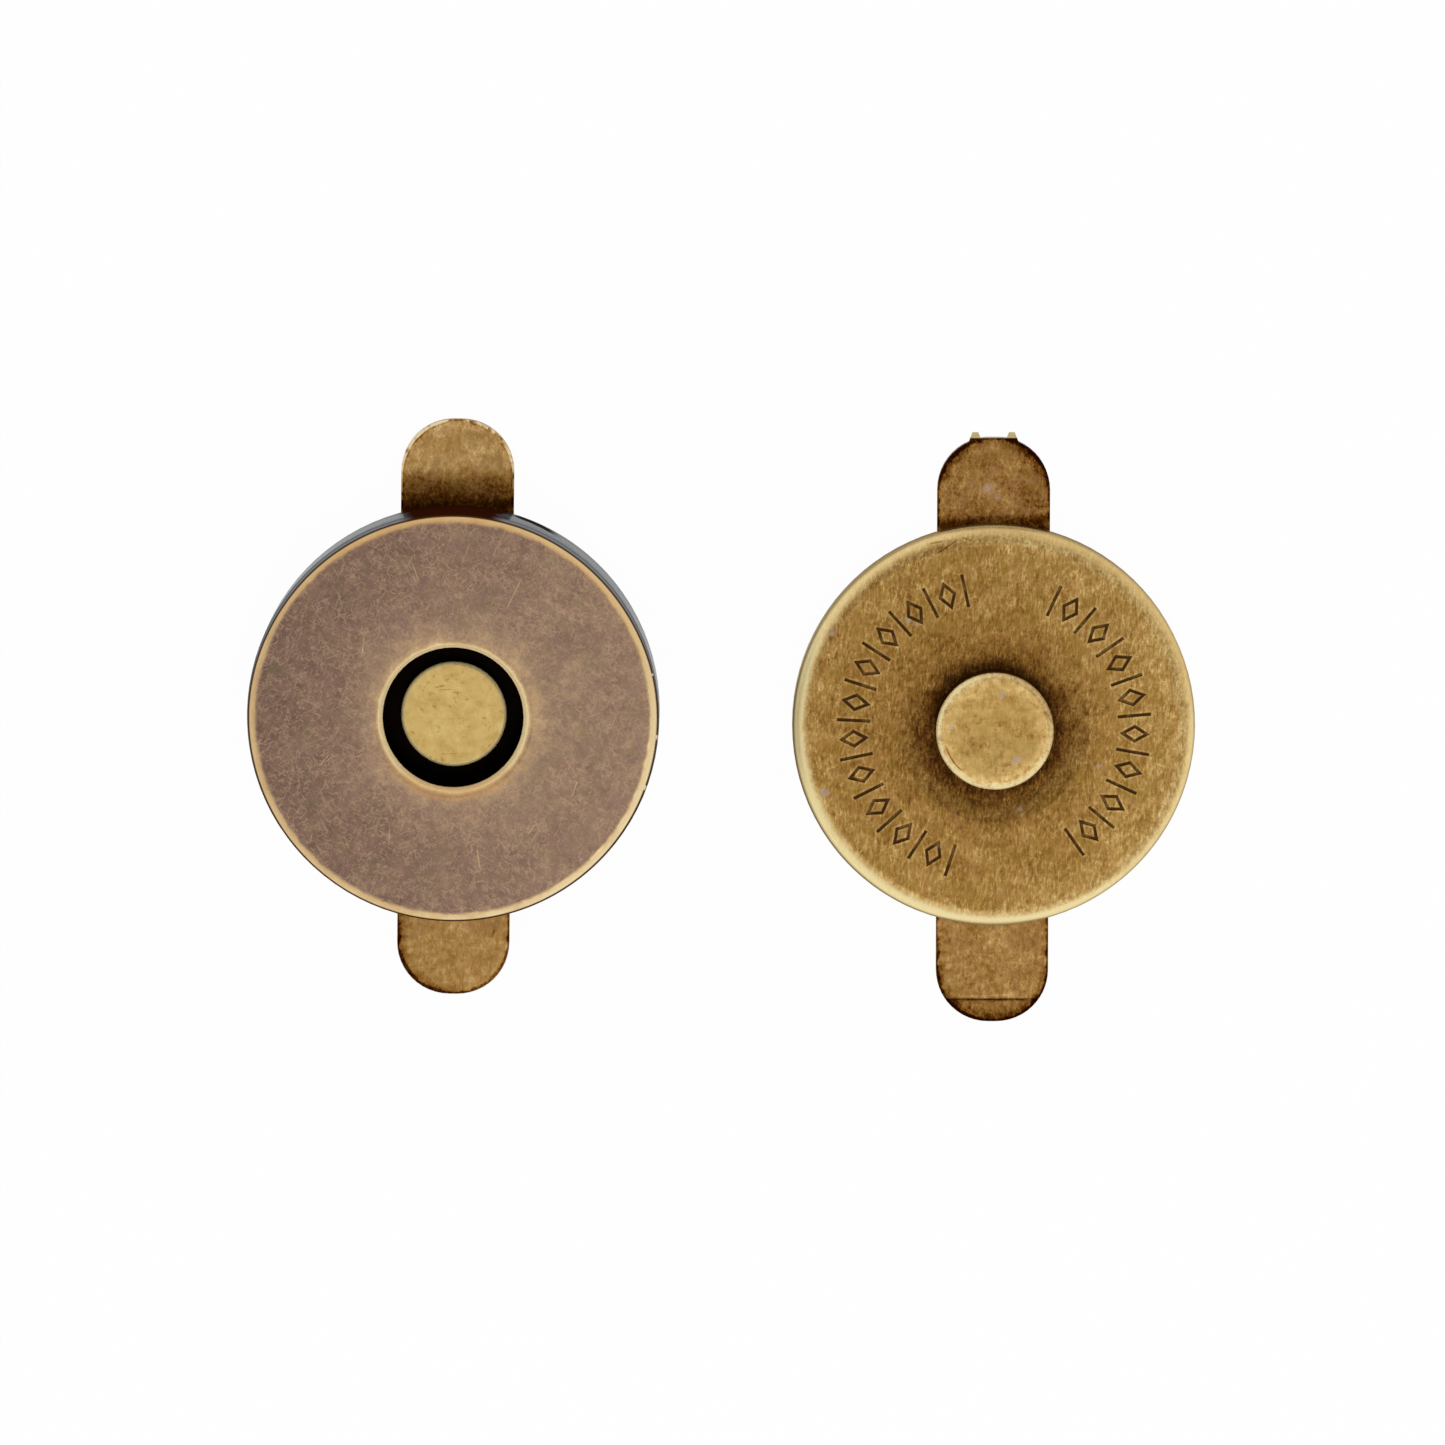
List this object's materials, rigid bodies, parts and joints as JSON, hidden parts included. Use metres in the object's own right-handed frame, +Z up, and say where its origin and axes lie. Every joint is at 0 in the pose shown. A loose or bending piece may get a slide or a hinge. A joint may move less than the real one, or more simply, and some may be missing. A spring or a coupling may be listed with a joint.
{
  "type": "magnetic snap",
  "caption": "Round magnetic snap: a ring-magnet case with a central hole, and a disc whose stud seats in that hole, each on a strip with legs folded flat.",
  "frame": {"origin": "on the table, midway between the two halves' outer edges", "axes": "+X from the socket half to the stud half, +Y along the legs, +Z up"},
  "size_m": [0.0416, 0.0268, 0.0044],
  "materials": {
    "case_brass": "satin",
    "disc_brass": "satin",
    "stud_brass": "satin",
    "pole_brass": "satin",
    "legs_brass": "satin",
    "plate_steel": "satin",
    "ferrite": "matte"
  },
  "bodies": {
    "socket_half": {"socket_case": "case_brass", "ring_magnet": "ferrite", "back_plate": "plate_steel", "pole_rivet": "pole_brass", "socket_legs": "legs_brass"},
    "stud_half": {"stud_disc": "disc_brass", "stud_rivet": "stud_brass", "stud_legs": "legs_brass"}
  },
  "joints": [
    {"name": "close", "type": "hinge", "parent": "socket_half", "child": "stud_half", "pos_m": [0.00007, 0.00028, 0.0034], "axis": [-0.0283, -0.9996, 0], "range_deg": [0, 180]}
  ]
}
